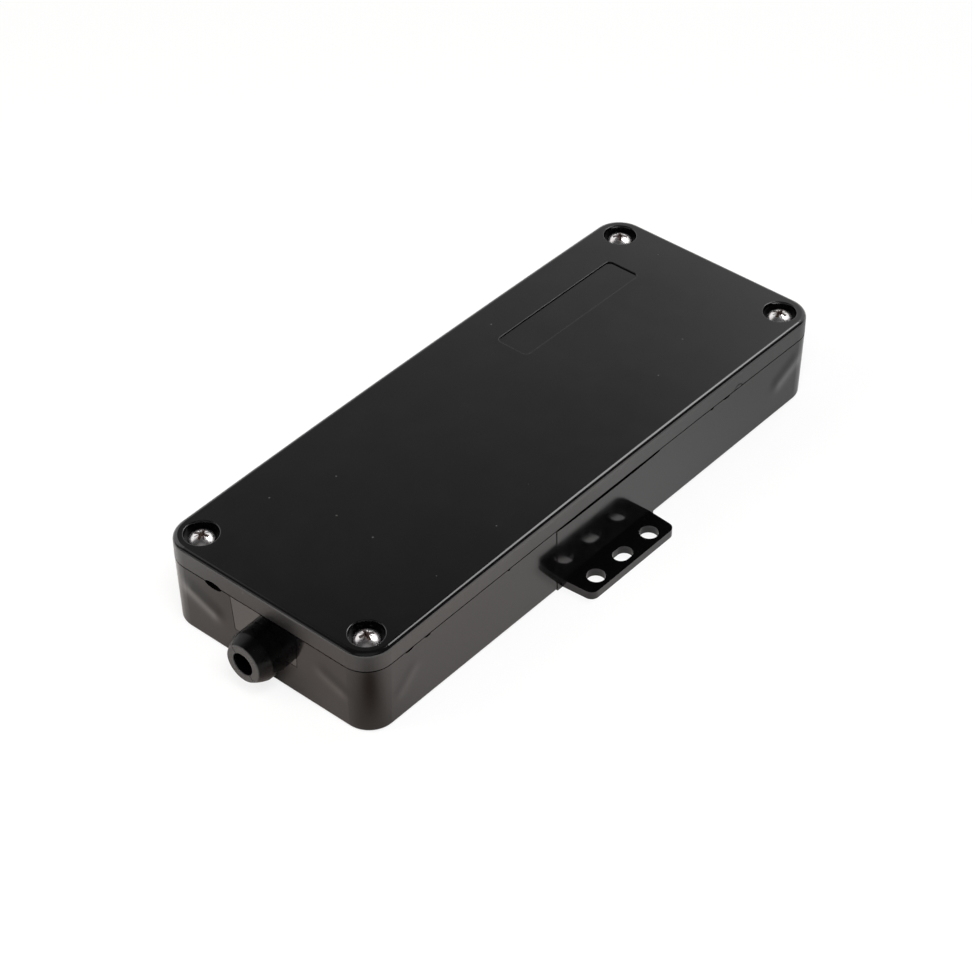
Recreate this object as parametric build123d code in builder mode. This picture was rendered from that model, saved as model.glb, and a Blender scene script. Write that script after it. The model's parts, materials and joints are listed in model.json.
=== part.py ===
from build123d import *
import os
from math import asin, cos, degrees, radians, sin, sqrt

os.makedirs("parts", exist_ok=True)

# Housing: +X along the box, +Z up, origin on the floor under its middle
body_length = 190.0
body_width = 74.0
body_height = 27.8
lid_depth = 6.3
corner_radius = 8.3
draft_angle = 1.6
rim_crown = 0.8
lid_crown = 1.1
seam_gap = 0.35
bottom_edge = 0.9
lid_edge = 1.3

# Walls, and the tongue that stands up from the base into the lid's groove
floor_thickness = 2.2
lid_plate = 2.2
tongue_inset = 1.5
tongue_width = 1.2
tongue_rise = 2.5
tongue_clearance = 0.1
lid_rib = 1.2
gasket_height = 1.4
gasket_clearance = 0.05
seal_bend = 6.0
pocket_wall = 2.2

# Corner screws, their inserts and the posts round them
screw_inset = 7.8
screw_shank = 3.5
screw_head = 7.0
screw_head_height = 2.95
screw_length = 14.0
core_gap = 0.05
screw_play = 0.2
screw_seat = 2.7
head_recess = 9.6
recess_rim = 0.25
lid_screw_hole = 4.0
insert_diameter = 5.4
insert_length = 8.0
insert_hole_depth = 16.0
post_diameter = 9.4
post_rib = 2.0
post_rise = 0.6
recess_wall = 1.1

# Every screw's dome and cross recess, as shares of its head's diameter or height
crown_share = 0.2
arm_share = 0.58
slot_share = 0.13
slot_depth_share = 0.75
web_share = 0.04
web_depth_share = 0.4
eye_share = 0.12
point_share = 0.15

# Label recess on the lid
label_length = 50.6
label_width = 11.1
label_depth = 0.4
label_corner = 1.6
label_rim = 0.15
label_x = 49.5
label_y = 17.8

# Mounting tabs on the long sides, and the raised panel behind each
tab_root_width = 37.6
tab_tip_width = 35.8
tab_reach = 9.5
tab_thickness = 2.5
tab_corner = 2.4
tab_hole = 5.4
tab_pitch = 11.5
tab_hole_setback = 4.2
tab_slot_length = 6.4
tab_slot_width = 4.8
panel_top_width = 44.0
panel_foot_width = 41.4
panel_proud = 0.2
panel_relief = 0.5

# Cable entries, one in the middle of each end wall
cable_bore = 6.9
gland_diameter = 14.6
gland_tip_diameter = 11.0
gland_reach = 8.2
gland_shoulder = 3.8
gland_bulge = 0.2
flange_thickness = 2.8
gland_clearance = 0.05
split_angle = 50.0
split_gap = 0.25
entry_top_width = 24.4
entry_floor_width = 22.3
entry_floor_drop = 0.5
bridge_clearance = 0.2
bridge_wing_thickness = 1.5
bridge_drop = 0.3
bridge_bar = 2.2
saddle_depth = 7.3
saddle_thickness = 1.8
saddle_width = 28.0
cable_hole = 8.0

# Opening slot for a blade, then the moulding faults along the visible seam: place and length
pry_width = 5.8
pry_height = 2.2
pry_offset = 17.8
pry_depth = 1.2
nicks = ((-80.0, 3.2), (-73.0, 2.2), (-41.3, 0.9), (45.6, 1.5), (52.4, 2.8))
nick_height = 0.9
chip_x = 57.6
chip_width = 3.6
chip_height = 2.2
chip_line = 0.3

# Cable clamps behind the entries
clamp_setback = 19.0
clamp_length = 8.0
clamp_width = 26.0
clamp_flange = 3.0
clamp_arch = 2.2
clamp_pitch = 18.0
clamp_gap = 1.0
small_shank = 2.9
small_head = 5.6
small_head_height = 2.2
small_screw_length = 9.0
short_screw_length = 6.0
small_screw_angles = (20.0, 65.0)

# Anchors for the cables' strength members
anchor_setback = 28.5
anchor_offset = 14.0
anchor_post = 7.0
anchor_height = 9.0
washer_diameter = 8.0
washer_thickness = 0.8

# Splice tray, its comb and its clear cover
tray_end_room = 33.0
tray_side_room = 6.0
tray_height = 9.0
tray_wall = 1.2
tray_floor = 1.4
tray_rim = 8.5
tray_foot = 7.0
spool_radius = 16.5
spool_wall = 1.2
spool_height = 7.0
spool_setback = 31.0
gate_setback = 12.0
gate_inset = 3.8
gate_length = 20.0
gate_width = 4.6
hook_x = 15.0
hook_drop = 4.5
hook_width = 6.0
hook_lip = 1.4
finger_length = 6.0
finger_width = 6.0
finger_thickness = 1.0
rim_finger_room = 0.5
spool_finger_angle = 45.0
cover_thickness = 1.2
cover_clearance = 0.1
thumb_hole = 12.0
comb_length = 30.0
comb_width = 24.0
comb_base = 1.2
comb_height = 5.5
comb_slots = 6
comb_rib = 0.9
comb_block = 8.0
support_width = 3.0
support_length = 5.0
support_x = 24.0

# Names and turns of the lid screws, in the order of corner_points
screw_names = (
    "lid_screw_near_left",
    "lid_screw_near_right",
    "lid_screw_far_left",
    "lid_screw_far_right",
)
screw_angles = (20.0, 65.0, 40.0, 10.0)

# Values that follow from the sizes above
seam_height = body_height - lid_depth
ledge_top = seam_height + rim_crown
tongue_top = seam_height + tongue_rise
wall = tongue_inset + tongue_width
plate_underside = body_height - lid_plate
seal_centre = tongue_inset + tongue_width / 2
groove_outer = tongue_inset - tongue_clearance
groove_inner = wall + tongue_clearance
groove_top = tongue_top + gasket_clearance + gasket_height
recess_radius = head_recess / 2
screw_x = body_length / 2 - screw_inset
screw_y = body_width / 2 - screw_inset
seal_reach = screw_inset * sqrt(2) + recess_radius + recess_wall + tongue_width / 2 + tongue_clearance
post_top = seam_height + post_rise
recess_floor = post_top + screw_seat
bridge_top = seam_height - bridge_drop
flange_diameter = bridge_top - bridge_bar - bridge_clearance - floor_thickness
entry_height = floor_thickness + flange_diameter / 2
entry_floor_height = entry_height - entry_floor_drop
clamp_seat = entry_height - clamp_gap / 2
tray_length = body_length - 2 * tray_end_room
tray_width = body_width - 2 * tray_side_room
spool_pitch = tray_length - 2 * spool_setback
gate_x = tray_length / 2 - gate_setback
gate_y = tray_width / 2 - gate_inset
rim_finger_y = gate_y - (gate_width + finger_width) / 2 - rim_finger_room
rim_finger_angle = degrees(asin(rim_finger_y / (tray_width / 2)))
hook_height = tray_height + tray_rim - hook_drop
tray_screw_points = [(-spool_pitch / 2, 0), (spool_pitch / 2, 0)]
anchor_points = [
    (side * (body_length / 2 - anchor_setback), side * anchor_offset) for side in (-1, 1)
]


def end_frame(side, depth=0.0):
    """Plane on an end wall: z looks into the box, y is up, x is to the left seen from outside."""
    return Plane(
        origin=(side * (body_length / 2 - depth), 0, 0), x_dir=(0, -side, 0), z_dir=(-side, 0, 0)
    )


def corner_points():
    """The four screw places, in the order near-left, near-right, far-left, far-right."""
    return [(sx * screw_x, sy * screw_y) for sx in (-1, 1) for sy in (1, -1)]


def seal_outline(inset):
    """Outline parallel to the walls that cuts the corners off, so it passes inside the screws."""
    leg = (seal_reach + inset - seal_centre) * sqrt(2) - 2 * inset
    with BuildSketch() as outline:
        Rectangle(body_length - 2 * inset, body_width - 2 * inset)
        chamfer(outline.vertices(), length=leg)
        fillet(outline.vertices(), radius=seal_bend - inset)
    return outline.sketch


def side_band(low, low_crown, high, high_crown):
    """Region between two arcs that rise in the middle of the box, seen from the long side."""
    reach = body_length / 2 + 1
    with BuildSketch(Plane.XZ) as band:
        with BuildLine():
            lower = ThreePointArc((-reach, low), (0, low + low_crown), (reach, low))
            upper = ThreePointArc((-reach, high), (0, high + high_crown), (reach, high))
            Line(lower @ 0, upper @ 0)
            Line(lower @ 1, upper @ 1)
        make_face()
    return band.sketch


def entry_outline(clearance, top):
    """Opening in an end wall: narrower at its floor, and open up to a height."""
    floor = entry_floor_height + clearance
    with BuildSketch() as outline:
        with BuildLine():
            Polyline(
                (-entry_top_width / 2 + clearance, top),
                (-entry_floor_width / 2 + clearance, floor),
                (entry_floor_width / 2 - clearance, floor),
                (entry_top_width / 2 - clearance, top),
                close=True,
            )
        make_face()
    return outline.sketch


def rim_height(x):
    """Height of the base's ledge at x."""
    return seam_height + rim_crown * (1 - (2 * x / body_length) ** 2)


def lid_height(x):
    """Height of the lid's top at x."""
    return body_height + lid_crown * (1 - (2 * x / body_length) ** 2)


def top_rims(edges):
    """Those of the edges that lie in the lid's crowned top."""
    return edges.filter_by(
        lambda edge: abs(edge.center().Z - lid_height(edge.center().X)) < label_depth / 2
    )


def pan_screw(place, angle, head, head_height, shank, length):
    """Pan-head screw with a domed head and a cross recess, on its seat at place, turned by angle."""
    x, y, z = place
    arm = arm_share * head
    slot = slot_share * head
    web = web_share * head
    crown = crown_share * head
    dome = (head * head / 4 + crown * crown) / (2 * crown)
    with BuildPart() as body:
        with Locations((x, y, z + head_height - dome)):
            Sphere(dome, rotation=(90, 0, 0))
        with BuildSketch(Plane(origin=place)):
            Circle(head / 2)
        extrude(amount=head_height, mode=Mode.INTERSECT)
        with BuildSketch(Plane(origin=place)):
            Circle(shank / 2)
        extrude(amount=-length)
        chamfer(body.faces().sort_by(Axis.Z)[0].edges(), length=point_share * shank)
        with BuildSketch(Plane(origin=(x, y, z + head_height))):
            Rectangle(arm, slot, rotation=angle)
            Rectangle(slot, arm, rotation=angle)
        extrude(amount=-slot_depth_share * head_height, mode=Mode.SUBTRACT)
        with BuildSketch(Plane(origin=(x, y, z + head_height))):
            Rectangle(arm, web, rotation=angle + 45)
            Rectangle(web, arm, rotation=angle + 45)
            Circle(eye_share * head)
        extrude(amount=-web_depth_share * head_height, mode=Mode.SUBTRACT)
    return body.part


# Slots for a blade in both end walls, half in the base and half in the lid
with BuildPart() as pry_slots:
    for side in (-1, 1):
        with BuildSketch(end_frame(side, -1)):
            with Locations((pry_offset, seam_height)):
                Ellipse(pry_width / 2, pry_height / 2)
        extrude(amount=1 + pry_depth)

# Raised panels on the long walls, above the mounting tabs
with BuildPart() as panels:
    with BuildSketch(Plane.XY.offset(ledge_top)):
        RectangleRounded(body_length, body_width + 2 * panel_proud, corner_radius)
    extrude(amount=ledge_top, dir=(0, 0, -1), taper=draft_angle)
    with BuildSketch(Plane.XZ):
        with BuildLine():
            Polyline(
                (-panel_foot_width / 2, 0),
                (-panel_top_width / 2, ledge_top),
                (panel_top_width / 2, ledge_top),
                (panel_foot_width / 2, 0),
                close=True,
            )
        make_face()
    extrude(amount=body_width, both=True, mode=Mode.INTERSECT)

# The base's outer form, still solid: drafted walls, crowned ledge and the tongue
with BuildPart() as outer_form:
    with BuildSketch(Plane.XY.offset(ledge_top)):
        RectangleRounded(body_length, body_width, corner_radius)
    extrude(amount=ledge_top, dir=(0, 0, -1), taper=draft_angle)
    fillet(outer_form.faces().sort_by(Axis.Z)[0].edges(), radius=bottom_edge)
    add(panels.part)
    extrude(
        side_band(seam_height, rim_crown, body_height, lid_crown),
        amount=body_width,
        both=True,
        mode=Mode.SUBTRACT,
    )
    with BuildSketch(Plane.XY.offset(seam_height - tongue_width)):
        add(seal_outline(tongue_inset))
    extrude(amount=tongue_rise + tongue_width)

# Mounting tabs: two round holes and a slot between them
with BuildPart() as tabs:
    tab_tip_y = body_width / 2 + tab_reach
    with BuildSketch() as tab_outline:
        with BuildLine():
            Polyline(
                (-tab_root_width / 2, body_width / 2 - wall),
                (-tab_tip_width / 2, tab_tip_y),
                (tab_tip_width / 2, tab_tip_y),
                (tab_root_width / 2, body_width / 2 - wall),
                close=True,
            )
        make_face()
        fillet(tab_outline.vertices().group_by(Axis.Y)[-1], radius=tab_corner)
        tab_hole_y = tab_tip_y - tab_hole_setback
        with Locations((-tab_pitch, tab_hole_y), (tab_pitch, tab_hole_y)):
            Circle(tab_hole / 2, mode=Mode.SUBTRACT)
        with Locations((0, tab_hole_y)):
            SlotOverall(tab_slot_length, tab_slot_width, mode=Mode.SUBTRACT)
    extrude(amount=tab_thickness)
    mirror(about=Plane.XZ)

# Base
with BuildPart() as base:
    add(outer_form.part)
    with BuildSketch(Plane.XY.offset(floor_thickness)):
        add(seal_outline(wall))
    extrude(amount=body_height, mode=Mode.SUBTRACT)

    # Corner pockets, which leave a ribbed post under each screw
    with BuildSketch(Plane.XY.offset(floor_thickness)):
        RectangleRounded(body_length - 2 * wall, body_width - 2 * wall, corner_radius - wall)
        add(seal_outline(wall - pocket_wall), mode=Mode.SUBTRACT)
        with Locations(*corner_points()):
            Circle(post_diameter / 2, mode=Mode.SUBTRACT)
            Rectangle(2 * screw_inset, post_rib, mode=Mode.SUBTRACT)
            Rectangle(post_rib, 2 * screw_inset, mode=Mode.SUBTRACT)
    extrude(amount=body_height, mode=Mode.SUBTRACT)
    with BuildSketch(Plane.XY.offset(post_top)):
        with Locations(*corner_points()):
            Circle(post_diameter / 2)
    extrude(amount=-2 * post_rise)
    with Locations(*[(x, y, post_top) for x, y in corner_points()]):
        CounterBoreHole(
            radius=screw_shank / 2 + screw_play,
            counter_bore_radius=insert_diameter / 2,
            counter_bore_depth=insert_length,
            depth=insert_hole_depth,
        )

    # Cable entries: a saddle in the wall, and a second one behind the gland's flange
    for side in (-1, 1):
        with BuildSketch(end_frame(side, wall)):
            with Locations((0, (floor_thickness + entry_floor_height) / 2)):
                Rectangle(saddle_width, entry_floor_height - floor_thickness)
        extrude(amount=bridge_wing_thickness)
        with BuildSketch(end_frame(side, saddle_depth)):
            with Locations((0, (floor_thickness + entry_height) / 2)):
                Rectangle(saddle_width, entry_height - floor_thickness)
            with Locations((0, entry_height)):
                Circle(cable_hole / 2, mode=Mode.SUBTRACT)
        extrude(amount=saddle_thickness)
        with BuildSketch(end_frame(side, -1)):
            add(entry_outline(0, body_height))
            with Locations((0, entry_height)):
                Circle(gland_diameter / 2 + gland_clearance)
        extrude(amount=1 + wall + bridge_wing_thickness, mode=Mode.SUBTRACT)
        with BuildSketch(end_frame(side, wall)):
            with Locations((0, entry_floor_height + body_height / 2)):
                Rectangle(saddle_width + 2 * bridge_clearance, body_height)
        extrude(amount=bridge_wing_thickness + bridge_clearance, mode=Mode.SUBTRACT)

        # Saddle of the cable clamp
        clamp_x = side * (body_length / 2 - clamp_setback)
        with BuildSketch(Plane.XY.offset(floor_thickness)):
            with Locations((clamp_x, 0)):
                Rectangle(clamp_length, clamp_width)
        extrude(amount=clamp_seat - floor_thickness)
        with BuildSketch(end_frame(side, clamp_setback - clamp_length / 2)):
            with Locations((0, entry_height)):
                Circle(cable_bore / 2)
        extrude(amount=clamp_length, mode=Mode.SUBTRACT)
        with Locations((clamp_x, -clamp_pitch / 2, clamp_seat), (clamp_x, clamp_pitch / 2, clamp_seat)):
            Hole(radius=small_shank / 2 + core_gap, depth=clamp_seat - floor_thickness)

    # Posts for the anchors and for the tray, and ledges under the tray's edge
    with BuildSketch(Plane.XY.offset(floor_thickness)):
        with Locations(*anchor_points):
            Circle(anchor_post / 2)
    extrude(amount=anchor_height - floor_thickness)
    with BuildSketch(Plane.XY.offset(floor_thickness)):
        with Locations(*tray_screw_points):
            Circle(tray_foot / 2)
        with GridLocations(2 * support_x, body_width - 2 * wall - support_length, 2, 2):
            Rectangle(support_width, support_length)
    extrude(amount=tray_height - floor_thickness)
    with Locations(*[(x, y, anchor_height) for x, y in anchor_points + tray_screw_points]):
        Hole(radius=small_shank / 2 + core_gap, depth=anchor_height - floor_thickness - 1)

    # The ledge sags a little along each raised panel, and is nicked along the visible seam
    for side in (-1, 1):
        with BuildSketch(Plane.XZ.offset(side * (body_width / 2 - tongue_inset))):
            with Locations((0, rim_height(0))):
                Ellipse(panel_top_width / 2, panel_relief)
        extrude(amount=2 * side * tongue_inset, mode=Mode.SUBTRACT)
    with BuildSketch(Plane.XZ.offset(body_width / 2 - tongue_inset / 2)):
        for x, length in nicks:
            with Locations((x, rim_height(x))):
                Ellipse(length / 2, nick_height / 2)
    extrude(amount=tongue_inset, mode=Mode.SUBTRACT)
    add(pry_slots.part, mode=Mode.SUBTRACT)
    add(tabs.part)
base.part.label = "base_shell"
export_step(base.part, "parts/base_shell.step")

# Brass inserts in the corner posts
with BuildPart() as inserts:
    with BuildSketch(Plane.XY.offset(post_top)):
        with Locations(*corner_points()):
            Circle(insert_diameter / 2)
            Circle(screw_shank / 2 + core_gap, mode=Mode.SUBTRACT)
    extrude(amount=-insert_length)
inserts.part.label = "screw_inserts"
export_step(inserts.part, "parts/screw_inserts.step")

# Bridge over each gland: closes the entry, carries the rim across it and holds the flange down
for side, end in ((-1, "near"), (1, "far")):
    with BuildPart() as bridge:
        with BuildSketch(end_frame(side)):
            add(entry_outline(bridge_clearance, body_height))
        extrude(amount=wall)
        with BuildSketch(end_frame(side, wall)):
            with Locations((0, (entry_floor_height + bridge_clearance + bridge_top) / 2)):
                Rectangle(saddle_width, bridge_top - entry_floor_height - bridge_clearance)
        extrude(amount=bridge_wing_thickness)
        with BuildSketch(end_frame(side, wall)):
            with Locations((0, bridge_top - bridge_bar / 2)):
                Rectangle(entry_floor_width, bridge_bar)
        extrude(amount=saddle_depth + saddle_thickness - wall)
        with BuildSketch(end_frame(side, saddle_depth)):
            with Locations((0, (entry_height + bridge_clearance + bridge_top) / 2)):
                Rectangle(entry_floor_width, bridge_top - entry_height - bridge_clearance)
            with Locations((0, entry_height)):
                Circle(cable_hole / 2, mode=Mode.SUBTRACT)
        extrude(amount=saddle_thickness)
        with BuildSketch(end_frame(side)):
            with Locations((0, entry_height)):
                Circle(gland_diameter / 2 + gland_clearance)
        extrude(amount=wall + bridge_wing_thickness, mode=Mode.SUBTRACT)
        add(outer_form.part, mode=Mode.INTERSECT)
    bridge.part.label = "entry_bridge_" + end
    export_step(bridge.part, "parts/entry_bridge_" + end + ".step")

    # Rubber gland, a sleeve with an inner flange, slit along its length into two halves
    sleeve_plane = Plane(
        origin=(side * body_length / 2, 0, entry_height), x_dir=(-side, 0, 0), z_dir=(0, side, 0)
    )
    flange_start = wall + bridge_wing_thickness + bridge_clearance
    flange_end = flange_start + flange_thickness
    split_plane = Plane(
        origin=(0, 0, entry_height),
        x_dir=(1, 0, 0),
        z_dir=(0, side * sin(radians(split_angle)), cos(radians(split_angle))),
    )
    bore = cable_bore / 2
    neck = gland_diameter / 2
    tip = gland_tip_diameter / 2
    for half, keep, shift in (("upper", Keep.TOP, 1), ("lower", Keep.BOTTOM, -1)):
        with BuildPart() as gland:
            with BuildSketch(sleeve_plane):
                with BuildLine():
                    ThreePointArc(
                        (-gland_reach, tip),
                        (-gland_reach + gland_shoulder / 2, (tip + neck) / 2 + gland_bulge),
                        (-gland_reach + gland_shoulder, neck),
                    )
                    Polyline(
                        (-gland_reach + gland_shoulder, neck),
                        (flange_start, neck),
                        (flange_start, flange_diameter / 2),
                        (flange_end, flange_diameter / 2),
                        (flange_end, bore),
                        (-gland_reach, bore),
                        (-gland_reach, tip),
                    )
                make_face()
            revolve(axis=Axis((0, 0, entry_height), (1, 0, 0)))
            split(bisect_by=split_plane.offset(shift * split_gap / 2), keep=keep)
        gland.part.label = "gland_" + end + "_" + half
        export_step(gland.part, "parts/gland_" + end + "_" + half + ".step")

    # Cable clamp: an arched strap and its two screws
    clamp_x = side * (body_length / 2 - clamp_setback)
    strap_base = clamp_seat + clamp_gap
    with BuildPart() as clamp:
        with BuildSketch(end_frame(side, clamp_setback - clamp_length / 2)):
            with Locations((0, entry_height)):
                Circle(cable_bore / 2 + clamp_arch)
            with Locations((0, strap_base + clamp_flange / 2)):
                Rectangle(clamp_width, clamp_flange)
            with Locations((0, strap_base - body_height / 2)):
                Rectangle(body_width, body_height, mode=Mode.SUBTRACT)
            with Locations((0, entry_height)):
                Circle(cable_bore / 2, mode=Mode.SUBTRACT)
        extrude(amount=clamp_length)
        with Locations(
            (clamp_x, -clamp_pitch / 2, strap_base + clamp_flange),
            (clamp_x, clamp_pitch / 2, strap_base + clamp_flange),
        ):
            Hole(radius=small_shank / 2 + screw_play, depth=clamp_flange)
    clamp.part.label = "cable_clamp_" + end
    export_step(clamp.part, "parts/cable_clamp_" + end + ".step")
    with BuildPart() as clamp_screws:
        for y, angle in zip((-clamp_pitch / 2, clamp_pitch / 2), small_screw_angles):
            add(
                pan_screw(
                    (clamp_x, y, strap_base + clamp_flange),
                    angle,
                    small_head,
                    small_head_height,
                    small_shank,
                    small_screw_length,
                )
            )
    clamp_screws.part.label = "clamp_screws_" + end
    export_step(clamp_screws.part, "parts/clamp_screws_" + end + ".step")

# Anchors: a washer and a screw on each post
with BuildPart() as washers:
    with BuildSketch(Plane.XY.offset(anchor_height)):
        with Locations(*anchor_points):
            Circle(washer_diameter / 2)
            Circle(small_shank / 2 + screw_play, mode=Mode.SUBTRACT)
    extrude(amount=washer_thickness)
washers.part.label = "anchor_washers"
export_step(washers.part, "parts/anchor_washers.step")
with BuildPart() as anchor_screws:
    for (x, y), angle in zip(anchor_points, small_screw_angles):
        add(
            pan_screw(
                (x, y, anchor_height + washer_thickness),
                angle,
                small_head,
                small_head_height,
                small_shank,
                short_screw_length,
            )
        )
anchor_screws.part.label = "anchor_screws"
export_step(anchor_screws.part, "parts/anchor_screws.step")

# Splice tray: floor, rim with fingers over the fibre, and two open spools
tray_deck = tray_height + tray_floor
tray_top = tray_height + tray_rim
end_radius = tray_width / 2
end_x = (tray_length - tray_width) / 2
with BuildPart() as tray:
    with BuildSketch(Plane.XY.offset(tray_height)):
        SlotOverall(tray_length, tray_width)
    extrude(amount=tray_rim)
    with BuildSketch(Plane.XY.offset(tray_deck)):
        SlotOverall(tray_length - 2 * tray_wall, tray_width - 2 * tray_wall)
    extrude(amount=tray_rim, mode=Mode.SUBTRACT)
    with BuildSketch(Plane.XY.offset(tray_deck)):
        with GridLocations(spool_pitch, 0, 2, 1):
            Circle(spool_radius)
            Circle(spool_radius - spool_wall, mode=Mode.SUBTRACT)
        Rectangle(spool_pitch, comb_width + 4 * comb_rib, mode=Mode.SUBTRACT)
    extrude(amount=spool_height)
    for side, start in ((-1, 180), (1, 0)):
        with BuildSketch(Plane.XY.offset(tray_top - finger_thickness)):
            with Locations((side * end_x, 0)):
                for angle in (start - rim_finger_angle, start, start + rim_finger_angle):
                    with PolarLocations(end_radius - tray_wall / 2 - finger_length / 2, 1, angle):
                        Rectangle(finger_length, finger_width)
        extrude(amount=finger_thickness)
        with BuildSketch(Plane.XY.offset(tray_deck + spool_height - finger_thickness)):
            with Locations((side * spool_pitch / 2, 0)):
                for angle in (start - spool_finger_angle, start + spool_finger_angle):
                    with PolarLocations(spool_radius - spool_wall / 2 + finger_length / 2, 1, angle):
                        Rectangle(finger_length, finger_width)
        extrude(amount=finger_thickness)
        with BuildSketch(Plane.XY.offset(tray_height)):
            with Locations((side * end_x, 0)):
                for angle in (start - rim_finger_angle, start, start + rim_finger_angle):
                    with PolarLocations(end_radius - tray_wall - finger_length / 2, 1, angle):
                        Rectangle(finger_length - tray_wall, finger_width)
        extrude(amount=tray_floor, mode=Mode.SUBTRACT)
    with BuildSketch(Plane.XY.offset(tray_top - finger_thickness)):
        with GridLocations(0, tray_width - tray_wall - finger_length, 1, 2):
            Rectangle(finger_width, finger_length)
    extrude(amount=finger_thickness)
    with BuildSketch(Plane.XY.offset(tray_height)):
        with GridLocations(0, tray_width - 2 * tray_wall - finger_length, 1, 2):
            Rectangle(finger_width, finger_length - tray_wall)
    extrude(amount=tray_floor, mode=Mode.SUBTRACT)
    with BuildSketch(Plane.XY.offset(tray_deck)):
        with GridLocations(comb_length + tray_wall + 2 * cover_clearance, comb_width / 2, 2, 2):
            Rectangle(tray_wall, comb_width / 4)
    extrude(amount=2 * comb_base)

    # Gaps in the rim where fibre comes in along the wall, and windows for the cover's hooks
    with BuildSketch(Plane.XY.offset(tray_deck)):
        with GridLocations(2 * gate_x, 2 * gate_y, 2, 2):
            Rectangle(gate_length, gate_width)
    extrude(amount=tray_rim, mode=Mode.SUBTRACT)
    with BuildSketch(Plane.XY.offset(hook_height)):
        with GridLocations(2 * hook_x, tray_width, 2, 2):
            Rectangle(hook_width + 4 * cover_clearance, 3 * tray_wall)
    extrude(amount=hook_lip + 2 * cover_clearance, mode=Mode.SUBTRACT)
    with Locations(*[(x, y, tray_deck) for x, y in tray_screw_points]):
        Hole(radius=small_shank / 2 + screw_play, depth=tray_floor)
tray.part.label = "splice_tray"
export_step(tray.part, "parts/splice_tray.step")

# Comb that grips the splice protectors
comb_step = (comb_width - comb_rib) / comb_slots
with BuildPart() as comb:
    with BuildSketch(Plane.XY.offset(tray_deck)):
        Rectangle(comb_length, comb_width)
    extrude(amount=comb_base)
    with BuildSketch(Plane.XY.offset(tray_deck + comb_base)):
        with GridLocations(comb_length - comb_block, comb_step, 2, comb_slots + 1):
            Rectangle(comb_block, comb_rib)
    extrude(amount=comb_height - comb_base)
comb.part.label = "splice_comb"
export_step(comb.part, "parts/splice_comb.step")

# Clear cover with four hooks that snap into the tray's windows
with BuildPart() as cover:
    hook_y = tray_width / 2 + cover_clearance + tray_wall / 2
    with BuildSketch(Plane.XY.offset(tray_top)):
        SlotOverall(tray_length, tray_width)
        with GridLocations(2 * hook_x, 2 * hook_y, 2, 2):
            Rectangle(hook_width, tray_wall + 2 * cover_clearance)
        with GridLocations(tray_length, 0, 2, 1):
            Circle(thumb_hole / 2, mode=Mode.SUBTRACT)
    extrude(amount=cover_thickness)
    with BuildSketch(Plane.XY.offset(hook_height + cover_clearance)):
        with GridLocations(2 * hook_x, 2 * hook_y, 2, 2):
            Rectangle(hook_width, tray_wall)
    extrude(amount=tray_top - hook_height - cover_clearance)
    with BuildSketch(Plane.XY.offset(hook_height + cover_clearance)):
        with GridLocations(2 * hook_x, 2 * hook_y - tray_wall, 2, 2):
            Rectangle(hook_width, tray_wall)
    extrude(amount=hook_lip)
cover.part.label = "tray_cover"
export_step(cover.part, "parts/tray_cover.step")

with BuildPart() as tray_screws:
    for (x, y), angle in zip(tray_screw_points, small_screw_angles):
        add(
            pan_screw(
                (x, y, tray_deck),
                angle,
                small_head,
                small_head_height,
                small_shank,
                short_screw_length,
            )
        )
tray_screws.part.label = "tray_screws"
export_step(tray_screws.part, "parts/tray_screws.step")

# Cutter for the label recess, which follows the lid's crown
with BuildPart() as label_cut:
    with BuildSketch(Plane.XY.offset(seam_height)):
        with Locations((label_x, label_y)):
            RectangleRounded(label_length, label_width, label_corner)
    extrude(amount=body_height)
    extrude(
        side_band(body_height - label_depth, lid_crown, 2 * body_height, lid_crown),
        amount=body_width,
        both=True,
        mode=Mode.INTERSECT,
    )

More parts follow.
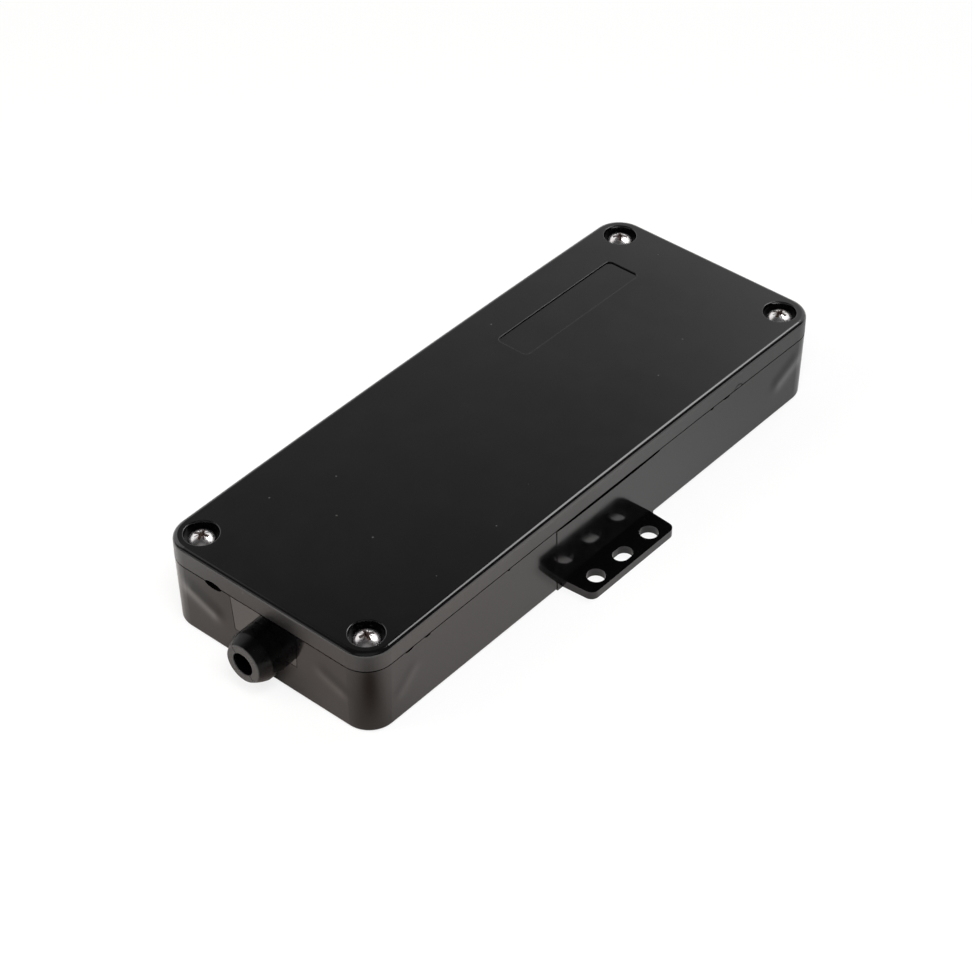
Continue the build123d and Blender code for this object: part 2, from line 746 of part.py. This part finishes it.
# Lid
with BuildPart() as lid:
    with BuildSketch(Plane.XY.offset(seam_height)):
        RectangleRounded(body_length, body_width, corner_radius)
    extrude(amount=body_height)
    extrude(
        side_band(seam_height + seam_gap, rim_crown, body_height, lid_crown),
        amount=body_width,
        both=True,
        mode=Mode.INTERSECT,
    )
    fillet(lid.faces().sort_by(Axis.Z)[-1].edges(), radius=lid_edge)
    with BuildSketch(Plane.XY.offset(seam_height)):
        add(seal_outline(groove_inner + lid_rib))
    extrude(amount=plate_underside - seam_height, mode=Mode.SUBTRACT)
    with BuildSketch(Plane.XY.offset(seam_height)):
        add(seal_outline(groove_outer))
        add(seal_outline(groove_inner), mode=Mode.SUBTRACT)
    extrude(amount=groove_top - seam_height, mode=Mode.SUBTRACT)
    with BuildSketch(Plane.XY.offset(seam_height)):
        RectangleRounded(body_length - 2 * wall, body_width - 2 * wall, corner_radius - wall)
        add(seal_outline(groove_outer - lid_rib), mode=Mode.SUBTRACT)
        with Locations(*corner_points()):
            Circle(recess_radius + recess_wall, mode=Mode.SUBTRACT)
    extrude(amount=plate_underside - seam_height, mode=Mode.SUBTRACT)
    with BuildSketch(Plane.XY.offset(seam_height)):
        with Locations(*corner_points()):
            Circle(post_diameter / 2 + tongue_clearance)
    extrude(amount=post_rise, mode=Mode.SUBTRACT)
    with Locations(*[(x, y, body_height + lid_crown) for x, y in corner_points()]):
        CounterBoreHole(
            radius=lid_screw_hole / 2,
            counter_bore_radius=recess_radius,
            counter_bore_depth=lid_crown + body_height - recess_floor,
            depth=body_height,
        )
    fillet(top_rims(lid.edges(Select.LAST)), radius=recess_rim)
    add(label_cut.part, mode=Mode.SUBTRACT)
    fillet(top_rims(lid.edges(Select.LAST)), radius=label_rim)
    add(pry_slots.part, mode=Mode.SUBTRACT)

    # Chip over the seam: a fine curved line in the lid's wall
    with BuildSketch(Plane.XZ.offset(body_width / 2 - chip_line)):
        with Locations((chip_x, rim_height(chip_x) + seam_gap)):
            Ellipse(chip_width / 2, chip_height / 2)
            Ellipse(chip_width / 2 - chip_line, chip_height / 2 - chip_line, mode=Mode.SUBTRACT)
    extrude(amount=tongue_inset, mode=Mode.SUBTRACT)
lid.part.label = "lid"
export_step(lid.part, "parts/lid.step")

# Gasket in the lid's groove, just over the tongue
with BuildPart() as gasket:
    with BuildSketch(Plane.XY.offset(groove_top - gasket_height)):
        add(seal_outline(groove_outer + gasket_clearance))
        add(seal_outline(groove_inner - gasket_clearance), mode=Mode.SUBTRACT)
    extrude(amount=gasket_height)
gasket.part.label = "lid_gasket"
export_step(gasket.part, "parts/lid_gasket.step")

# Lid screws
for (x, y), name, angle in zip(corner_points(), screw_names, screw_angles):
    screw = pan_screw(
        (x, y, recess_floor), angle, screw_head, screw_head_height, screw_shank, screw_length
    )
    screw.label = name
    export_step(screw, "parts/" + name + ".step")
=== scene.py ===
"""Looks of the fibre splice closure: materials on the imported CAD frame, a studio and a camera.

All lengths are in metres, +Z is up, and -X is the near end in the photograph.
"""
import json
import math

import bpy
from mathutils import Matrix, Vector


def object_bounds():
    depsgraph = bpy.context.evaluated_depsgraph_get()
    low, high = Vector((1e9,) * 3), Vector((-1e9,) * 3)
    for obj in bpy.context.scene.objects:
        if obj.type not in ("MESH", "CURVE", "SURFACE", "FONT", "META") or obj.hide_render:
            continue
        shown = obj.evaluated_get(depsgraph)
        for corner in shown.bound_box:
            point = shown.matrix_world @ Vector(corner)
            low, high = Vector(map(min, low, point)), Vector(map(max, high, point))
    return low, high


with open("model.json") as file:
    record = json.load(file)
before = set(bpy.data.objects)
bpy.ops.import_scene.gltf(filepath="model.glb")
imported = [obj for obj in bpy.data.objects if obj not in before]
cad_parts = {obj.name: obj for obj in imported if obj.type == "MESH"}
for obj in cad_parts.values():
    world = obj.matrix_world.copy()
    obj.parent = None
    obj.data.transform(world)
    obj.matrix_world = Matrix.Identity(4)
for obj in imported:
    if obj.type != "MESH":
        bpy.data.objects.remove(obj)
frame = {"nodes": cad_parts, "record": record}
cad_low, cad_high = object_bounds()
nodes = frame["nodes"]


def node_box(name):
    """Lowest and highest corner of a CAD node."""
    points = [vertex.co for vertex in nodes[name].data.vertices]
    low = [min(point[axis] for point in points) for axis in range(3)]
    high = [max(point[axis] for point in points) for axis in range(3)]
    return low, high


# This screw is the one whose axis has X and Y above 0; the other three mirror it
screw_low, screw_high = node_box("lid_screw_far_left")
lid_low, lid_high = node_box("lid")

WHITE = (1, 1, 1, 1)

# Camera, fitted to the photograph's edges. Its angles give the way from the target to the camera.
CAMERA_AZIMUTH = -138.95
CAMERA_ELEVATION = 40.61
CAMERA_ROLL = -0.495
CAMERA_DISTANCE = 0.76253
CAMERA_TARGET = Vector((-0.01166, -0.00361, 0.01267))
FOCAL_PIXELS = 2786.8
PHOTO_PIXELS = 973
SENSOR = 36.0
NEAREST_SEEN = 0.01
FARTHEST_SEEN = 100

# Floor: half its side, how far it lies under the base so that the two never share a plane,
# its colour, and the share of plain white in what the camera sees of it
FLOOR_REACH = 20.0
FLOOR_GAP = 0.0001
FLOOR_LEVEL = 0.93
FLOOR_WHITE = 0.8

# Painted shade on the floor, in soft darker and warmer patches that only reflections see: middle,
# radius, colour there and its share
DARK = (0.05, 0.05, 0.05, 1)
FLOOR_PAINTED_SHADE = (
    ((-0.1025, -0.0455, 0), 0.016, DARK, 0.92),
    ((-0.109, 0.037, 0), 0.022, DARK, 0.3),
    ((-0.105, 0.0, 0), 0.045, (0.25, 0.14, 0.08, 1), 0.5),
    ((-0.05, -0.06, 0), 0.06, (0.5, 0.3, 0.2, 1), 0.25),
    ((0.12, -0.06, 0), 0.09, DARK, 0.45),
)

# Brightness of the studio all round, away from the backdrop and the pale walls
STUDIO_LEVEL = 0.05

# Backdrop: the way to it, the cosines between which it fades in, and its brightness
# by the sine of the elevation
BACKDROP_AZIMUTH = 41.0
BACKDROP_FADE = (0.2, 0.6)
BACKDROP_LEVELS = (
    (0.0, 1.0),
    (0.45, 0.85),
    (0.57, 0.36),
    (0.65, 0.2),
    (0.715, 0.11),
    (0.76, 0.03),
    (1.0, 0.05),
)

# Pale walls of the studio: azimuth and elevation of the middle, brightness, and the angles
# from the middle where each starts to fade and where it ends
PALE_WALLS = (
    (0, 30, 0.85, 20, 32),
    (88, 28, 1.0, 22, 32),
    (150, 6, 0.5, 14, 28),
    (-139, 38, 0.2, 20, 40),
)

# Black plastic, the dust on it, and the pattern that places one speck at most in each cell:
# cells per metre, the speck's radius as a share of a cell, and the share of clean cells
PLASTIC_BLACK = (0.0012, 0.0011, 0.0013, 1)
DUST_COLOUR = (0.05, 0.048, 0.045, 1)
DUST_CELLS = 170.0
DUST_RADIUS = 0.05
CLEAN_CELLS = 0.72

# Lid: how far its rounded edge reaches down from the top, where its walls end under that edge,
# the height over which they turn duller, and how much roughness they gain
LID_EDGE = 0.00168
LID_WALL_TOP = lid_high[2] - LID_EDGE
WALL_FADE = 0.0005
WALL_DULLNESS = 0.17

# Sink marks in the near end wall and in the long wall that the photograph shows, drawn as
# soft ridges: both ends of each, its height and its width
END_X = lid_low[0]
LONG_Y = lid_low[1]
SINK_MARKS = (
    ((END_X, 0.0265, 0.0150), (END_X, 0.0183, 0.0117), 0.0006, 0.0025),
    ((END_X, -0.0270, 0.0120), (END_X, -0.0205, 0.0142), 0.0003, 0.0022),
    ((-0.0835, LONG_Y, 0.0095), (-0.0790, LONG_Y, 0.0140), 0.00016, 0.0022),
    ((0.0779, LONG_Y, 0.0118), (0.0848, LONG_Y, 0.0150), 0.00045, 0.0026),
)

# The glands' cut faces are the part's ends: how far inside them their grey is full, how far
# out that is, and the length over which the grey fades in
CUT_FACE_DEPTH = 0.0001
CUT_FACE_X = cad_high[0] - CUT_FACE_DEPTH
CUT_FACE_FADE = 0.0003

# Lid screws: the axes' distances from the middle, how much of the heads' domes the cross cuts
# off, their top without it and their radius, the reach of the cross, the head's height, and
# the depths where the grime and painted shade in the cross recess start and are full
SCREW_X = (screw_low[0] + screw_high[0]) / 2
SCREW_Y = (screw_low[1] + screw_high[1]) / 2
SCREW_CUT = 0.00007
SCREW_TOP = screw_high[2] + SCREW_CUT
SCREW_DOME = 0.00507
SCREW_CROSS = 0.00225
SCREW_HEAD = 0.0028
GRIME_AND_SHADE_STARTS = 0.00012
GRIME_AND_SHADE_FULL = 0.0005

# Colours of the lid screws: clean and hazy zinc, dark and light grime with painted shade for the
# cross recess
ZINC_CLEAN = (0.9, 0.87, 0.87, 1)
ZINC_HAZY = (0.66, 0.61, 0.59, 1)
GRIME_AND_SHADE_DARK = (0.035, 0.022, 0.018, 1)
GRIME_AND_SHADE_LIGHT = (0.16, 0.11, 0.09, 1)

# Clear plastic, and the paler look of its scuffs
CLEAR_TINT = (0.93, 0.96, 0.98, 1)
SCUFF_TINT = (0.85, 0.88, 0.9, 1)

# A plated metal's stain keeps these shares of its red, green and blue
STAIN_SHARES = (0.55, 0.5, 0.44)

# Most of a noise texture's values lie between these
NOISE_LOW = 0.3
NOISE_HIGH = 0.7


def direction(azimuth, elevation):
    """Unit vector towards an azimuth and an elevation in degrees."""
    a = math.radians(azimuth)
    e = math.radians(elevation)
    return Vector((math.cos(e) * math.cos(a), math.cos(e) * math.sin(a), math.sin(e)))


def grey(level, blue=0.0):
    """Neutral colour, a little bluer where blue is above 0."""
    return (level, level, level * (1 + blue), 1.0)


class Shader:
    """Short way to build the nodes of a material or a world."""

    def __init__(self, owner, coordinates):
        owner.use_nodes = True
        self.tree = owner.node_tree
        self.tree.nodes.clear()
        self.coordinates = self.tree.nodes.new("ShaderNodeTexCoord").outputs[coordinates]

    def put(self, socket, value):
        """Links a socket to another one, or sets its value."""
        if isinstance(value, bpy.types.NodeSocket):
            self.tree.links.new(value, socket)
        else:
            socket.default_value = value

    def node(self, kind, inputs=None, **settings):
        made = self.tree.nodes.new(kind)
        for key, value in settings.items():
            setattr(made, key, value)
        for key, value in (inputs or {}).items():
            self.put(made.inputs[key], value)
        return made

    def math(self, operation, *values):
        return self.node("ShaderNodeMath", dict(enumerate(values)), operation=operation).outputs[0]

    def vector(self, operation, inputs, output):
        return self.node("ShaderNodeVectorMath", inputs, operation=operation).outputs[output]

    def remap(self, value, low, high, to_low=0.0, to_high=1.0, smooth=False):
        """Turns low to high into to_low to to_high, and holds the ends."""
        made = self.node(
            "ShaderNodeMapRange",
            {
                "Value": value,
                "From Min": low,
                "From Max": high,
                "To Min": to_low,
                "To Max": to_high,
            },
            interpolation_type="SMOOTHSTEP" if smooth else "LINEAR",
        )
        return made.outputs["Result"]

    def mix(self, share, first, second):
        """Colour between the first, at share 0, and the second, at share 1."""
        inputs = {"Factor": share, "A": first, "B": second}
        return self.node("ShaderNodeMix", inputs, data_type="RGBA").outputs["Result"]

    def place(self, axis):
        return self.node("ShaderNodeSeparateXYZ", {0: self.coordinates}).outputs[axis]

    def bell(self, distance, radius):
        """1 at distance 0, falling smoothly to almost 0 at twice the radius."""
        square = self.math("POWER", self.math("DIVIDE", distance, radius), 2.0)
        return self.math("EXPONENT", self.math("MULTIPLY", square, -1.0))

    def ray(self, *kinds):
        """1 for light paths that are any of these kinds, and 0 for all others."""
        path = self.node("ShaderNodeLightPath").outputs
        total = 0.0
        for kind in kinds:
            total = self.math("MAXIMUM", path[kind], total)
        return total


class Surface(Shader):
    """A new material with one Principled shader."""

    def __init__(self, name):
        self.material = bpy.data.materials.new(name)
        super().__init__(self.material, "Object")
        self.principled = self.node("ShaderNodeBsdfPrincipled")
        self.output = self.node("ShaderNodeOutputMaterial", {"Surface": self.principled.outputs[0]})

    def set(self, **values):
        """Sets inputs of the Principled shader, with _ for each space in their names."""
        for key, value in values.items():
            self.put(self.principled.inputs[key.replace("_", " ")], value)

    def noise(self, scale, detail, roughness=0.5):
        inputs = {
            "Vector": self.coordinates,
            "Scale": scale,
            "Detail": detail,
            "Roughness": roughness,
        }
        return self.node("ShaderNodeTexNoise", inputs).outputs["Fac"]

    def patches(self, scale, start, full, detail=3, roughness=0.5, most=1.0):
        """Soft patches: 0 where the noise is below start, and most where it is above full."""
        return self.remap(self.noise(scale, detail, roughness), start, full, 0.0, most)

    def uneven(self, low, high, scale, detail=3):
        """A value that wanders between low and high over the surface."""
        return self.remap(self.noise(scale, detail), NOISE_LOW, NOISE_HIGH, low, high)

    def bump(self, height, depth, strength=1.0, after=None):
        """Normal of a relief, laid over the normal in after."""
        inputs = {"Height": height, "Distance": depth, "Strength": strength}
        made = self.node("ShaderNodeBump", inputs)
        if after is not None:
            self.put(made.inputs["Normal"], after)
        return made.outputs["Normal"]

    def grain(self, scale, depth, detail=2, strength=0.5, after=None):
        """Normal of a noisy relief."""
        return self.bump(self.noise(scale, detail), depth, strength, after)


def dust_specks(s):
    """1 on the specks of dust, and 0 elsewhere."""
    cell = s.node("ShaderNodeTexVoronoi", {"Vector": s.coordinates, "Scale": DUST_CELLS}).outputs
    speck = s.math("LESS_THAN", cell["Distance"], DUST_RADIUS)
    chance = s.node("ShaderNodeSeparateColor", {0: cell["Color"]}).outputs[0]
    return s.math("MULTIPLY", speck, s.math("GREATER_THAN", chance, CLEAN_CELLS))


def sink_marks(s):
    """Height of the sink marks' soft ridges, in metres."""
    total = 0.0
    for first, second, height, width in SINK_MARKS:
        way = Vector(second) - Vector(first)
        per_length = tuple(way / way.length_squared)
        from_first = s.vector("SUBTRACT", {0: s.coordinates, 1: first}, 0)
        along = s.vector("DOT_PRODUCT", {0: from_first, 1: per_length}, "Value")
        share = s.math("MINIMUM", s.math("MAXIMUM", along, 0.0), 1.0)
        foot = s.vector("SCALE", {0: tuple(way), "Scale": share}, 0)
        distance = s.vector("DISTANCE", {0: from_first, 1: foot}, "Value")
        total = s.math("ADD", s.math("MULTIPLY", s.bell(distance, width), height), total)
    return total


def black_moulding(name, roughness, marks=False, gloss=1.58, walls_from=None):
    """Glossy black plastic with slow waviness and specks of dust, duller below walls_from."""
    s = Surface(name)
    rough = s.uneven(roughness - 0.015, roughness + 0.025, scale=120, detail=4)
    if walls_from is not None:
        extra = s.remap(s.place("Z"), walls_from, walls_from - WALL_FADE, 0.0, WALL_DULLNESS)
        rough = s.math("ADD", rough, extra)
    relief = s.grain(scale=22, depth=0.0004, detail=1, strength=0.3)
    if marks:
        relief = s.bump(sink_marks(s), 1.0, after=relief)
    s.set(Base_Color=s.mix(dust_specks(s), PLASTIC_BLACK, DUST_COLOUR))
    s.set(Roughness=rough)
    s.set(IOR=gloss)
    s.set(Normal=s.grain(scale=260, depth=0.000004, after=relief))
    return s.material


def rubber(name, roughness, level, gloss=1.35, cut_face=0.0):
    """Dull rubber with fine grain and some bloom, and its own grey on the glands' cut faces."""
    s = Surface(name)
    bloom = s.patches(scale=300, start=0.45, full=0.75, detail=4, roughness=0.65)
    colour = s.mix(bloom, grey(level), grey(level * 1.9, 0.05))
    if cut_face:
        outward = s.math("ABSOLUTE", s.place("X"))
        on_face = s.remap(outward, CUT_FACE_X - CUT_FACE_FADE, CUT_FACE_X)
        colour = s.mix(on_face, colour, grey(cut_face))
    s.set(Base_Color=colour)
    s.set(Roughness=s.uneven(roughness - 0.06, roughness + 0.08, scale=500))
    s.set(IOR=gloss)
    s.set(Normal=s.grain(scale=2200, depth=0.00004, detail=3))
    return s.material


def plated(name, colour, roughness):
    """Plated metal with a fine grain and a faint stain."""
    s = Surface(name)
    stain = s.patches(scale=700, start=0.5, full=0.8)
    stained = [value * share for value, share in zip(colour, STAIN_SHARES)]
    s.set(Metallic=1.0)
    s.set(Base_Color=s.mix(stain, (*colour, 1), (*stained, 1)))
    s.set(Roughness=s.uneven(roughness - 0.05, roughness + 0.1, scale=1500))
    s.set(Normal=s.grain(scale=3500, depth=0.00003))
    return s.material


def screw_recess_grime_and_shade(s):
    """1 deep in each lid screw's cross recess, where grime and painted shade lie, and 0 on the
    dome.
    """
    off_x = s.math("SUBTRACT", s.math("ABSOLUTE", s.place("X")), SCREW_X)
    off_y = s.math("SUBTRACT", s.math("ABSOLUTE", s.place("Y")), SCREW_Y)
    square = s.math("ADD", s.math("MULTIPLY", off_x, off_x), s.math("MULTIPLY", off_y, off_y))
    dome = s.math("SUBTRACT", SCREW_TOP, s.math("DIVIDE", square, 2 * SCREW_DOME))
    depth = s.math("SUBTRACT", dome, s.place("Z"))
    near_axis = s.math("LESS_THAN", square, SCREW_CROSS ** 2)
    in_head = s.math("LESS_THAN", depth, SCREW_HEAD)
    in_cross = s.math("MULTIPLY", near_axis, in_head)
    return s.math("MULTIPLY", s.remap(depth, GRIME_AND_SHADE_STARTS, GRIME_AND_SHADE_FULL), in_cross)


def lid_screw_plating():
    """Bright zinc with a little haze, and dull brown grime with painted shade deep in the cross
    recess.
    """
    s = Surface("bright_zinc")
    # Grime with painted shade, darker the deeper it lies in the cross recess
    grime_and_shade = screw_recess_grime_and_shade(s)
    haze = s.patches(scale=900, start=0.45, full=0.75, most=0.35)
    mottle = s.patches(scale=1600, start=0.4, full=0.6, detail=2)
    zinc = s.mix(haze, ZINC_CLEAN, ZINC_HAZY)
    grime_and_shade_colour = s.mix(mottle, GRIME_AND_SHADE_DARK, GRIME_AND_SHADE_LIGHT)
    rough = s.uneven(0.2, 0.32, scale=1500)
    s.set(Metallic=s.math("SUBTRACT", 1.0, grime_and_shade))
    s.set(Base_Color=s.mix(grime_and_shade, zinc, grime_and_shade_colour))
    s.set(Roughness=s.math("ADD", rough, s.math("MULTIPLY", grime_and_shade, 0.2)))
    s.set(Normal=s.grain(scale=1400, depth=0.000012))
    return s.material


def plain_moulding(name, colour, roughness):
    """Matte moulded plastic, slightly mottled."""
    s = Surface(name)
    mottle = s.patches(scale=120, start=0.35, full=0.7)
    shade = [0.9 * value for value in colour]
    s.set(Base_Color=s.mix(mottle, (*colour, 1), (*shade, 1)))
    s.set(Roughness=s.uneven(roughness - 0.05, roughness + 0.07, scale=400))
    s.set(IOR=1.48)
    s.set(Normal=s.grain(scale=2400, depth=0.00006))
    return s.material


def clear_moulding(name):
    """Clear plastic, faintly tinted and slightly scuffed."""
    s = Surface(name)
    scuff = s.patches(scale=250, start=0.5, full=0.75, detail=4, roughness=0.7)
    s.set(Base_Color=s.mix(scuff, CLEAR_TINT, SCUFF_TINT))
    s.set(Roughness=s.remap(scuff, 0, 1, 0.04, 0.16))
    s.set(Transmission_Weight=1.0)
    s.set(IOR=1.49)
    s.set(Normal=s.grain(scale=60, depth=0.0003, detail=1, strength=0.2))
    return s.material


def dress():
    """Gives every CAD node its material."""
    lid_plastic = black_moulding("black_lid", roughness=0.13, gloss=1.7, walls_from=LID_WALL_TOP)
    materials = {
        "housing": black_moulding("black_housing", roughness=0.11, marks=True),
        "bridge": black_moulding("black_insert", roughness=0.04, gloss=2.1),
        "gland": rubber("black_rubber", roughness=0.3, level=0.0006, gloss=1.3, cut_face=0.07),
        "seal": rubber("grey_seal", roughness=0.6, level=0.06),
        "lid_screws": lid_screw_plating(),
        "small_screws": plated("zinc_plate", colour=(0.72, 0.71, 0.68), roughness=0.3),
        "inserts": plated("turned_brass", colour=(0.82, 0.62, 0.3), roughness=0.25),
        "clamp": plain_moulding("black_clamp", colour=(0.025, 0.025, 0.027), roughness=0.4),
        "tray": plain_moulding("white_tray", colour=(0.82, 0.82, 0.79), roughness=0.38),
        "comb": rubber("black_comb", roughness=0.5, level=0.02),
        "cover": clear_moulding("clear_cover"),
    }
    for part in frame["record"]["subparts"]:
        mesh = nodes[part["node"]].data
        mesh.materials.clear()
        if part["node"] == "lid":
            mesh.materials.append(lid_plastic)
        else:
            mesh.materials.append(materials[part["material_slot"]])


def make_camera():
    """The camera looks from the photograph's angle, with its roll."""
    back = direction(CAMERA_AZIMUTH, CAMERA_ELEVATION)
    right = (-back).cross(Vector((0, 0, 1))).normalized()
    up = right.cross(-back)
    roll = math.radians(CAMERA_ROLL)
    rolled_right = math.cos(roll) * right + math.sin(roll) * up
    rolled_up = -math.sin(roll) * right + math.cos(roll) * up
    data = bpy.data.cameras.new("camera")
    data.sensor_width = SENSOR
    data.sensor_fit = "HORIZONTAL"
    data.lens = FOCAL_PIXELS / PHOTO_PIXELS * SENSOR
    data.clip_start = NEAREST_SEEN
    data.clip_end = FARTHEST_SEEN
    camera = bpy.data.objects.new("camera", data)
    bpy.context.scene.collection.objects.link(camera)
    rotation = Matrix((rolled_right, rolled_up, back)).transposed().to_4x4()
    camera.matrix_world = Matrix.Translation(CAMERA_TARGET + CAMERA_DISTANCE * back) @ rotation
    bpy.context.scene.camera = camera


def floor_material():
    """Pale floor with painted shade in patches that only reflections see. From below it is clear.
    """
    s = Surface("pale_floor")
    mirrored = s.ray("Is Glossy Ray")
    colour = grey(FLOOR_LEVEL)
    # Painted shade: in each patch the floor turns darker or warmer for reflections only
    for middle, radius, shade, share in FLOOR_PAINTED_SHADE:
        distance = s.vector("DISTANCE", {0: s.coordinates, 1: middle}, "Value")
        painted_shade = s.math("MULTIPLY", s.bell(distance, radius), share)
        colour = s.mix(s.math("MULTIPLY", painted_shade, mirrored), colour, shade)
    s.set(Base_Color=colour)
    s.set(Roughness=1.0)
    s.set(Specular_IOR_Level=0.0)
    white = s.node("ShaderNodeEmission", {"Color": WHITE, "Strength": 1.0})
    seen = s.ray("Is Camera Ray", "Is Transmission Ray")
    white_share = s.math("MULTIPLY", seen, FLOOR_WHITE)
    top = s.node(
        "ShaderNodeMixShader",
        {0: white_share, 1: s.principled.outputs[0], 2: white.outputs[0]},
    )
    from_below = s.node("ShaderNodeNewGeometry").outputs["Backfacing"]
    clear = s.node("ShaderNodeBsdfTransparent")
    whole = s.node("ShaderNodeMixShader", {0: from_below, 1: top.outputs[0], 2: clear.outputs[0]})
    s.put(s.output.inputs["Surface"], whole.outputs[0])
    return s.material


def make_floor():
    """Square floor under the object, which keeps its shadow."""
    r = FLOOR_REACH
    mesh = bpy.data.meshes.new("floor")
    mesh.from_pydata([(-r, -r, 0), (r, -r, 0), (r, r, 0), (-r, r, 0)], [], [(0, 1, 2, 3)])
    mesh.materials.append(floor_material())
    floor = bpy.data.objects.new("floor", mesh)
    floor.location.z = -FLOOR_GAP
    bpy.context.scene.collection.objects.link(floor)


def facing(s, azimuth, elevation):
    """Cosine of the angle between this direction and each way into the world."""
    middle = tuple(direction(azimuth, elevation))
    return s.vector("DOT_PRODUCT", {0: s.coordinates, 1: middle}, "Value")


def backdrop_light(s):
    """Brightness of the backdrop, which changes with the height."""
    ramp = s.node("ShaderNodeValToRGB", {"Fac": s.place("Z")})
    elements = ramp.color_ramp.elements
    while len(elements) < len(BACKDROP_LEVELS):
        elements.new(1.0)
    for element, (place, level) in zip(elements, BACKDROP_LEVELS):
        element.position = place
        element.color = grey(level)
    return ramp.outputs["Color"]


def make_world():
    """Backdrop behind the object in a dim studio with pale walls. The camera sees plain white."""
    world = bpy.data.worlds.new("studio")
    bpy.context.scene.world = world
    s = Shader(world, "Generated")
    behind = s.remap(facing(s, BACKDROP_AZIMUTH, 0), *BACKDROP_FADE, smooth=True)
    light = s.mix(behind, grey(STUDIO_LEVEL), backdrop_light(s))
    for azimuth, elevation, level, full, end in PALE_WALLS:
        outer = math.cos(math.radians(end))
        inner = math.cos(math.radians(full))
        wall = s.remap(facing(s, azimuth, elevation), outer, inner, smooth=True)
        light = s.mix(wall, light, grey(level))
    seen = s.ray("Is Camera Ray", "Is Transmission Ray")
    colour = s.mix(seen, light, WHITE)
    background = s.node("ShaderNodeBackground", {"Color": colour, "Strength": 1.0})
    s.node("ShaderNodeOutputWorld", {"Surface": background.outputs[0]})


def softbox(name, azimuth, elevation, distance, size, power, colour=(1, 1, 1), mirrored=True):
    """Oval area lamp that looks at the frame's origin. An unmirrored one shows in no reflection."""
    data = bpy.data.lights.new(name, "AREA")
    data.shape = "ELLIPSE"
    data.size = size[0]
    data.size_y = size[1]
    data.energy = power
    data.color = colour
    lamp = bpy.data.objects.new(name, data)
    lamp.visible_glossy = mirrored
    way = direction(azimuth, elevation)
    lamp.location = way * distance
    lamp.rotation_mode = "QUATERNION"
    lamp.rotation_quaternion = way.to_track_quat("Z", "Y")
    bpy.context.scene.collection.objects.link(lamp)


dress()
make_floor()
make_world()
softbox("key", azimuth=-12, elevation=53, distance=1.3, size=(0.8, 0.6), power=4.4)
softbox(
    "front",
    azimuth=-125,
    elevation=60,
    distance=0.75,
    size=(0.4, 0.4),
    power=4.2,
    mirrored=False,
)
softbox(
    "fill",
    azimuth=140,
    elevation=42,
    distance=0.85,
    size=(0.5, 0.5),
    power=3,
    colour=(1.0, 0.9, 0.82),
    mirrored=False,
)
make_camera()
bpy.context.scene.view_settings.view_transform = "Standard"
